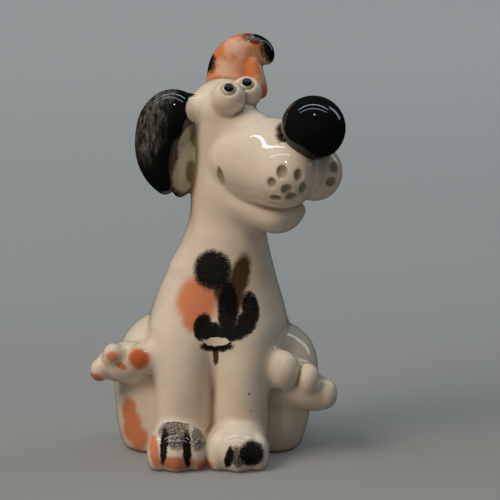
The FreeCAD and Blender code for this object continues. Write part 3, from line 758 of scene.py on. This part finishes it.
def paint_mask(nodes, coords, group, colour, soft):
    """One colour's spots, as a mask in the frame's own space."""
    mask = None
    for (spot_group, spot_colour, row), place in zip(SPOTS, SPOT_PLACES):
        if (spot_group, spot_colour) != (group, colour):
            continue
        half_wide, half_high = row[2] / PX_PER_MM, row[3] / PX_PER_MM
        scale = (half_wide * MM, max(SPOT_DEPTH, half_wide) * MM, half_high * MM)
        local = nodes.node("ShaderNodeMapping", {
            "Vector": coords, "Location": tuple(place * MM), "Rotation": (0, math.radians(row[4]), 0),
            "Scale": scale}, vector_type="TEXTURE")
        reach = nodes.node("ShaderNodeVectorMath", {0: local.outputs[0]}, operation="LENGTH").outputs["Value"]
        one = nodes.ramp(reach, 1 + soft, 1 - soft)
        mask = one if mask is None else nodes.math("MAXIMUM", mask, one)
    return mask


# How each paint lies: the softness of a spot, how far grain eats its edge, where that is cut, and its cover.
PAINT_LOOKS = {
    "orange": dict(soft=0.42, speck=0.3, edge=(0.0, 1.0), strength=0.92),
    "brown": dict(soft=0.55, speck=0.6, edge=(0.0, 0.8), strength=0.97),
    "rust": dict(soft=0.6, speck=0.3, edge=(0.0, 1.0), strength=0.8),
    "black": dict(soft=0.38, speck=2.4, edge=(0.12, 0.72), strength=0.99),
    "sooty": dict(soft=0.5, speck=3.4, edge=(0.35, 1.0), strength=0.92),
    "thin": dict(soft=0.5, speck=0.0, edge=(0.0, 1.0), strength=0.9),
    "shaded_lining": dict(soft=0.25, speck=0.3, edge=(0.1, 0.9), strength=1.0),
    "white": dict(soft=0.16, speck=0.3, edge=(0.15, 0.85), strength=1.0),
    "olive": dict(soft=0.5, speck=0.4, edge=(0.1, 0.9), strength=0.8),
}


# The nose's black runs into the muzzle's glaze as a brown collar, in metres.
COLLAR_RADIUS = 0.0085
COLLAR_FADE = 0.0014
COLLAR_RAGGED = 0.0014
COLLAR_WAVES = 700.0
# Glaze. Waves are to the metre, and edges are the noise's values between which a tone changes.
WOBBLE_WAVES = 900.0
WOBBLE_DETAIL = 3.0
WOBBLE_METRES = 0.0008
SLIP_WAVES = 170.0
SLIP_EDGES = (0.40, 0.66)
SLIP_SHADE = 0.94
GRAIN_WAVES = 3200.0
GRAIN_ROUGH = 0.8
DENT_WAVES = 260.0
DENT_DETAIL = 2.0
DENT_STRENGTH = 0.025
DENT_METRES = 0.001
GLAZE = {
    "Roughness": 0.4, "Specular IOR Level": 0.0, "Coat Weight": 1.0, "Coat Roughness": 0.02, "Coat IOR": 1.5}
STREAK_WAVES = 1100.0
STREAK_DETAIL = 6.0
STREAK_ROUGH = 0.75
STREAK_STRETCH = (1.0, 1.0, 0.28)
STREAK_EDGES = (0.36, 0.74)
# The bare clay underneath.
CLAY_WAVES = 900.0
CLAY_EDGES = (0.35, 0.65)
CLAY_SHADE = 0.8
CLAY_ROUGHNESS = 0.85
CLAY_GRIT_WAVES = 4000.0
CLAY_GRIT_STRENGTH = 0.3
CLAY_GRIT_METRES = 0.0002


def streaks(nodes):
    """Upright streaks where black was wiped thin."""
    drawn = nodes.node("ShaderNodeMapping", {"Vector": nodes.coords, "Scale": STREAK_STRETCH})
    return nodes.ramp(nodes.noise(STREAK_WAVES, STREAK_DETAIL, STREAK_ROUGH, drawn.outputs[0]), *STREAK_EDGES)


def ragged(nodes, value, size, waves):
    """A value shaken by noise."""
    shake = nodes.math("SUBTRACT", nodes.noise(waves), 0.5)
    return nodes.math("ADD", value, nodes.math("MULTIPLY", shake, size))


def darker(colour, share):
    """A colour at a share of its brightness."""
    return tuple(c * share for c in colour)


def finish(nodes, inputs):
    """The shader of a material, and its output."""
    shader = nodes.node("ShaderNodeBsdfPrincipled", inputs)
    output = nodes.node("ShaderNodeOutputMaterial")
    nodes.tree.links.new(shader.outputs[0], output.inputs["Surface"])
    return nodes.material


def glaze(name, group=None, base=CREAM, paler=None, collar=False):
    """Clear glaze over slip and underglaze paint, pooled olive where the surface dips, which darkens the dips
    as painted shade.
    """
    nodes = Nodes(name)
    wobble = nodes.node("ShaderNodeTexNoise", {
        "Vector": nodes.coords, "Scale": WOBBLE_WAVES, "Detail": WOBBLE_DETAIL})
    shift = nodes.node("ShaderNodeVectorMath", {
        0: wobble.outputs["Color"], 1: (0.5, 0.5, 0.5)}, operation="SUBTRACT")
    small = nodes.node("ShaderNodeVectorMath", {0: shift.outputs[0], "Scale": WOBBLE_METRES}, operation="SCALE")
    coords = nodes.node("ShaderNodeVectorMath", {0: nodes.coords, 1: small.outputs[0]}).outputs[0]
    mottle = nodes.ramp(nodes.noise(SLIP_WAVES), *SLIP_EDGES)
    slip = nodes.mix(mottle, base, paler or darker(base, SLIP_SHADE))
    # Olive pooled glaze and painted shade, mixed in where creases, pits and the ear's crevice lie.
    pool_shade = nodes.node("ShaderNodeAttribute", attribute_name="pool_shade").outputs["Fac"]
    colour = nodes.mix(pool_shade, slip, POOLED_GLAZE_SHADE)
    grain = nodes.noise(GRAIN_WAVES, rough=GRAIN_ROUGH)
    if group:
        for key, paint in PAINT_COLOURS.items():
            if key not in PAINT[group]:
                continue
            look = PAINT_LOOKS[key]
            mask = paint_mask(nodes, coords, group, key, look["soft"])
            swing = nodes.math("MULTIPLY_ADD", nodes.math("SUBTRACT", grain, 0.5), look["speck"], 1.0)
            eaten = nodes.math("MULTIPLY", mask, swing)
            mask = nodes.math("MULTIPLY", nodes.ramp(eaten, *look["edge"]), look["strength"])
            if key == "thin":
                mask = nodes.math("MULTIPLY", mask, streaks(nodes))
            colour = nodes.mix(mask, colour, paint)
    if collar:
        off = nodes.node("ShaderNodeVectorMath", {
            0: coords, 1: tuple(NOSE_CENTRE * MM)}, operation="DISTANCE")
        reach = ragged(nodes, off.outputs["Value"], COLLAR_RAGGED, COLLAR_WAVES)
        colour = nodes.mix(nodes.ramp(reach, COLLAR_RADIUS, COLLAR_RADIUS - COLLAR_FADE), colour, BROWN)
        colour = nodes.mix(nodes.ramp(reach, COLLAR_RADIUS - COLLAR_FADE, NOSE_RADIUS * MM), colour, BLACK)
    dents = nodes.noise(DENT_WAVES, DENT_DETAIL)
    bump = nodes.node("ShaderNodeBump", {"Height": dents, "Strength": DENT_STRENGTH, "Distance": DENT_METRES})
    dented = bump.outputs[0]
    return finish(nodes, {"Base Color": colour, **GLAZE, "Normal": dented, "Coat Normal": dented})


def bare_clay():
    """The unglazed underside that the figurine was fired on."""
    nodes = Nodes("bare_clay")
    mottle = nodes.ramp(nodes.noise(CLAY_WAVES), *CLAY_EDGES)
    colour = nodes.mix(mottle, BARE_CLAY, darker(BARE_CLAY, CLAY_SHADE))
    bump = nodes.node("ShaderNodeBump", {
        "Height": nodes.noise(CLAY_GRIT_WAVES), "Strength": CLAY_GRIT_STRENGTH, "Distance": CLAY_GRIT_METRES})
    return finish(nodes, {"Base Color": colour, "Roughness": CLAY_ROUGHNESS, "Normal": bump.outputs[0]})


WHITE = glaze("glaze_white")
MATERIALS = {
    "torso_shell": glaze("glaze_chest", "chest"),
    "muzzle": glaze("glaze_muzzle", collar=True),
    "ear_right": glaze("glaze_ear_right", "ear_right", base=BLACK),
    "ear_left": glaze("glaze_ear_left", "ear_left", base=ORANGE, paler=PEACH),
    "front_paw_right": glaze("glaze_paws", "paws"),
    "hind_leg_right": glaze("glaze_hind", "hind"),
}
for side in SIDES:
    MATERIALS[f"front_leg_{side}"] = MATERIALS["torso_shell"]
MATERIALS["front_paw_left"] = MATERIALS["front_paw_right"]
for node in ["hind_foot_right"] + [f"hind_toe_right_{toe}" for toe in TOES["right"]]:
    MATERIALS[node] = MATERIALS["hind_leg_right"]
BARE = bare_clay()
INK = glaze("glaze_black", base=BLACK)

# The skin, meshed once and shared out among the nodes. Its box and grid are in millimetres.
SKIN_BOX = ((-29, -26, -0.9), (29.5, 27, 90))
GRID_MM = 0.3
BEND_STEP = 0.3
# Glaze pools, and shade is painted in, where the surface bends in this much: from, over, at most. In a hollow:
# from this deep, over.
CREASE_POOL_SHADE = (0.5, 2.6, 0.6)
PIT_POOL_SHADE = (0.22, 0.35)
# Painted shade and pooled glaze in the ear's crevice: up to this far from both, at most, and fading out over
# this height.
CREVICE_POOL_SHADE = (1.5, 0.9, 2.0)
# What lies lower than this is the unglazed underside.
UNDERSIDE_MM = 0.12
verts, quads = meshed(skin, *SKIN_BOX, GRID_MM)
gradients, bend = slope(skin, verts, BEND_STEP)
steepness = np.linalg.norm(gradients, axis=1)
normals = gradients / steepness[:, None]
# Painted shade and pooled glaze: creases that bend in, and the pressed pits, are darkened.
least, over, most = CREASE_POOL_SHADE
pool_shade = np.clip((-bend / steepness - least) / over, 0, most)
least, over = PIT_POOL_SHADE
pool_shade = np.maximum(pool_shade, np.clip((least - pit_field(verts)) / over, 0, 1))
fields = clay(verts)
# The crevice between the hanging ear and the neck, below the ear's root, darkened with painted shade and pooled
# glaze.
crevice = np.maximum(fields["ear_right"], np.minimum(fields["torso_shell"], fields["head_shell"]))
reach, most, fade = CREVICE_POOL_SHADE
pool_shade = np.maximum(pool_shade, np.clip(reach - crevice, 0, most) * np.clip((CREVICE_TOP - verts[:, 2]) / fade, 0, 1))
fields["muzzle"] = np.minimum(fields["muzzle"], fields.pop("brow"))
names = list(fields)
label = np.array([fields[name] for name in names]).argmin(0)
label[(label == names.index("torso_shell")) & (verts[:, 2] > NECK_TOP)] = names.index("head_shell")
# A face across a joint goes to the piece that comes first.
face_label = label[quads].min(1)
for number, name in enumerate(names):
    own = quads[face_label == number]
    if not len(own):
        continue
    used, inverse = np.unique(own, return_inverse=True)
    local = inverse.reshape(own.shape)
    caps, fans = closed(verts[used], normals[used], local)
    own_verts = np.vstack([verts[used], caps])
    own_normals = np.vstack([normals[used], np.tile((0.0, 0.0, 1.0), (len(caps), 1))])
    own_pool_shade = np.concatenate([pool_shade[used], np.zeros(len(caps))])
    under = (own_verts[local][:, :, 2] < UNDERSIDE_MM).all(1)
    slots = np.concatenate([under.astype(int), np.ones(len(fans), int)])
    obj = piece(name, own_verts, local.tolist() + fans, own_normals, {"pool_shade": own_pool_shade},
                [MATERIALS.get(name, WHITE), BARE], slots)
    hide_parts(name)


# Lumps that keep a sharp joint: the step of their slope, and the grid and margin of each, in millimetres.
LUMP_STEP = 0.05
NOSE_GRID, NOSE_MARGIN = 0.25, 1.0
PUPIL_GRID, PUPIL_REACH = 0.08, 1.4
PUPIL = (1.05, 1.05, 0.55)
PUPIL_SUNK = 0.12


def separate(name, field, centre, reach, h, material):
    """A lump meshed by itself."""
    centre = np.asarray(centre, float)
    own_verts, own_quads = meshed(field, centre - reach, centre + reach, h)
    g, _ = slope(field, own_verts, LUMP_STEP)
    g /= np.linalg.norm(g, axis=1, keepdims=True)
    obj = piece(name, own_verts, own_quads.tolist(), g, {"pool_shade": np.zeros(len(own_verts))},
                [material], np.zeros(len(own_quads)))
    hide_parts(name)


separate("nose_ball", lambda p: egg(p, NOSE_CENTRE, (NOSE_RADIUS,) * 3), NOSE_CENTRE,
         NOSE_RADIUS + NOSE_MARGIN, NOSE_GRID, INK)
for side, (centre, radius, gaze) in EYES.items():
    place = centre + gaze * (radius - PUPIL_SUNK)
    across = unit(np.cross(gaze, (0, 0, 1)))
    axes = np.stack([across, np.cross(gaze, across), gaze], 1)
    separate(f"pupil_{side}", lambda p: egg(p, place, PUPIL, axes), place, PUPIL_REACH, PUPIL_GRID, INK)


# Stage, lights and camera.
LAMP_AIM = np.array([0.005, 0.0, 0.045])
# Lamps: degrees to the right of the front, degrees up, metres away, size in metres, watts, colour,
# and whether the glaze mirrors it.
LAMPS = {
    "strip_1": (0, 98, 1.7, (2.8, 0.07), 7.0, (0.72, 0.90, 1.0), True),
    "strip_2": (0, 80, 1.7, (2.8, 0.07), 4.0, (0.72, 0.90, 1.0), True),
    "window_left": (-48, 40, 1.5, (0.65, 0.65), 10.8, (1.0, 0.85, 0.68), False),
    "sky_left": (-66, 58, 1.5, (0.8, 0.8), 5.5, (0.86, 0.95, 1.0), False),
    "lamp_front": (6, 56, 1.6, (0.11, 0.08), 1.0, (1.0, 0.92, 0.82), True),
    "lamp_right": (120, 30, 1.5, (0.25, 0.9), 2.0, (0.70, 0.90, 1.0), True),
}
# A lamp that points down more steeply than this is turned by the front, and any other by what is up.
STEEP = 0.9


def lamp(name, azimuth, elevation, distance, size, power, colour, mirrored):
    """A lamp of even light, turned to the figurine."""
    data = bpy.data.lights.new(name, "AREA")
    data.shape = "RECTANGLE"
    data.size, data.size_y = size
    data.energy = power
    data.color = colour
    a, e = math.radians(azimuth), math.radians(elevation)
    forward = np.array([math.sin(a) * math.cos(e), -math.cos(a) * math.cos(e), math.sin(e)])
    across = unit(np.cross((0, 1, 0) if abs(forward[2]) > STEEP else (0, 0, 1), forward))
    axes = np.stack([across, np.cross(forward, across), forward], 1)
    obj = bpy.data.objects.new(name, data)
    obj.location = LAMP_AIM + distance * forward
    obj.rotation_euler = Matrix(axes.tolist()).to_euler()
    obj.visible_glossy = mirrored
    bpy.context.scene.collection.objects.link(obj)


for name, settings in LAMPS.items():
    lamp(name, *settings)


# The pale paper that it stands on: partly lit, partly even, and dark where the glaze would mirror it.
PAPER_NEAR = (0.292, 0.280, 0.268)
PAPER_FAR = (0.320, 0.328, 0.330)
PAPER_LIT_SHARE = 0.88
MIRRORED = (0.006, 0.006, 0.006)
# Where its tone changes, and where its even light grows and from what to what, by Y in metres.
TONE_EDGES = (-0.05, 0.25)
GLOW = (0.0, 1.1, 1.2, 5.0)
FLOOR_HALF = 6.0
# The world's dim light, and what the glaze mirrors of it.
DIM = (0.52, 0.66, 0.78, 1)
DIM_STRENGTH = 0.07
DARK = (0.012, 0.013, 0.014, 1)


def floor():
    """The paper, as a stage piece."""
    nodes = Nodes("floor")
    rays = nodes.node("ShaderNodeLightPath")
    far = nodes.node("ShaderNodeSeparateXYZ", {0: nodes.coords}).outputs["Y"]
    tone = nodes.mix(nodes.ramp(far, *TONE_EDGES), PAPER_NEAR, PAPER_FAR)
    lit = nodes.node("ShaderNodeBsdfDiffuse", {"Color": tone})
    even = nodes.node("ShaderNodeEmission", {"Color": tone, "Strength": nodes.ramp(far, *GLOW)})
    shown = nodes.node("ShaderNodeMixShader", {0: PAPER_LIT_SHARE, 1: even.outputs[0], 2: lit.outputs[0]})
    paper = nodes.node("ShaderNodeMixShader", {
        0: rays.outputs["Is Camera Ray"], 1: lit.outputs[0], 2: shown.outputs[0]})
    mirrored = nodes.node("ShaderNodeBsdfDiffuse", {"Color": (*MIRRORED, 1.0)})
    shader = nodes.node("ShaderNodeMixShader", {
        0: rays.outputs["Is Glossy Ray"], 1: paper.outputs[0], 2: mirrored.outputs[0]})
    output = nodes.node("ShaderNodeOutputMaterial")
    nodes.tree.links.new(shader.outputs[0], output.inputs["Surface"])
    mesh = bpy.data.meshes.new("floor")
    half = FLOOR_HALF
    corners = [(-half, -half, 0), (half, -half, 0), (half, half, 0), (-half, half, 0)]
    mesh.from_pydata(corners, [], [(0, 1, 2, 3)])
    mesh.materials.append(nodes.material)
    obj = bpy.data.objects.new("floor", mesh)
    bpy.context.scene.collection.objects.link(obj)


def surroundings():
    """Dim even light, and near darkness where the glaze would mirror it."""
    world = bpy.data.worlds.new("studio")
    bpy.context.scene.world = world
    world.use_nodes = True
    tree = world.node_tree
    dim = tree.nodes["Background"]
    dim.inputs["Color"].default_value = DIM
    dim.inputs["Strength"].default_value = DIM_STRENGTH
    dark = tree.nodes.new("ShaderNodeBackground")
    dark.inputs["Color"].default_value = DARK
    rays = tree.nodes.new("ShaderNodeLightPath")
    choice = tree.nodes.new("ShaderNodeMixShader")
    tree.links.new(rays.outputs["Is Glossy Ray"], choice.inputs[0])
    tree.links.new(dim.outputs[0], choice.inputs[1])
    tree.links.new(dark.outputs[0], choice.inputs[2])
    tree.links.new(choice.outputs[0], tree.nodes["World Output"].inputs["Surface"])


floor()
surroundings()

camera = bpy.data.objects.new("camera", bpy.data.cameras.new("camera"))
camera.location = tuple(CAMERA_EYE * MM)
camera.rotation_euler = (math.radians(90 - CAMERA_ELEVATION), 0, 0)
camera.data.sensor_width = SENSOR_MM
camera.data.lens = SENSOR_MM * CAMERA_DISTANCE * PX_PER_MM / FRAME_PX
camera.data.clip_start = CLIP_START
bpy.context.scene.collection.objects.link(camera)
bpy.context.scene.camera = camera
bpy.context.scene.view_settings.view_transform = "Standard"
